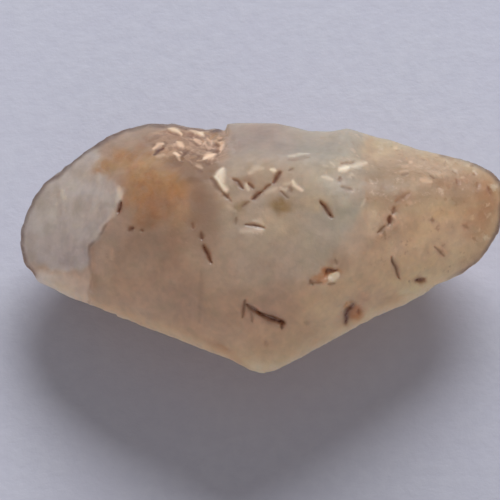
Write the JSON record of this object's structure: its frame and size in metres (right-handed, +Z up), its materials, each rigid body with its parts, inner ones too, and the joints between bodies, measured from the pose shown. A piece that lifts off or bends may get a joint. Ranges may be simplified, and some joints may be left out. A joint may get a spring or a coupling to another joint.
{
  "type": "rough sapphire crystal",
  "caption": "Rough, water-worn sapphire crystal: a stubby double pyramid with growth steps, edge chips and etched channels, lying on a flat face.",
  "frame": {"origin": "middle of the crystal's bounding box in plan, on the plane of the face it rests on", "axes": "+X from the blunt end to the pointed end, along the longest extent; +Z up from the foot"},
  "size_m": [0.018, 0.0097, 0.0066],
  "materials": {
    "sapphire": "translucent, frosted by wear, pale grey to tan with iron stains"
  },
  "bodies": {
    "root": {"sapphire_crystal": "sapphire"}
  },
  "joints": []
}
